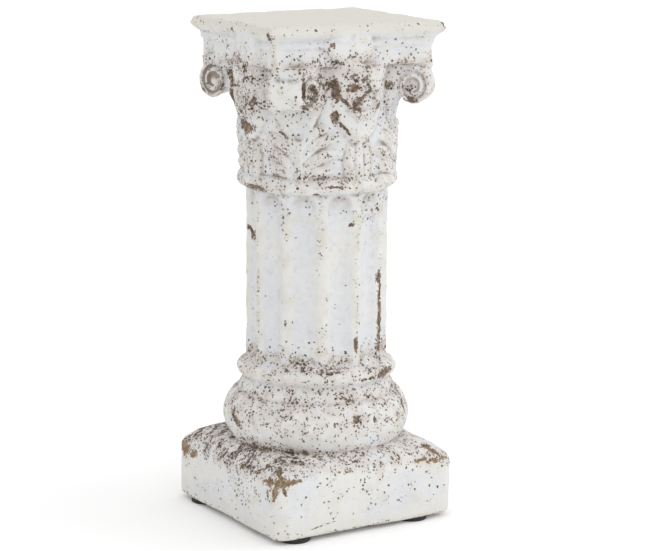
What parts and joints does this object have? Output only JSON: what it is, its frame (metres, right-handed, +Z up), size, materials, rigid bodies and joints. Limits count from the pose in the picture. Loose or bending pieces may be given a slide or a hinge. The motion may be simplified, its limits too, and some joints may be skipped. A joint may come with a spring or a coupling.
{
  "type": "decorative column",
  "caption": "Small cast decorative column with a square plinth, fluted shaft and leaf-and-scroll capital in a distressed white finish, standing on round rubber pads.",
  "frame": {"origin": "on the ground under the middle of the square plinth", "axes": "+Z up along the shaft, X and Y square to the plinth's sides"},
  "size_m": [0.12, 0.12, 0.29],
  "materials": {
    "cast_stone": "matt white paint over brown cast stone, worn and pitted",
    "foot_pad": "matt black"
  },
  "bodies": {
    "root": {"column": "cast_stone", "foot_pad_front_left": "foot_pad", "foot_pad_front_right": "foot_pad", "foot_pad_back_left": "foot_pad", "foot_pad_back_right": "foot_pad"}
  },
  "joints": []
}
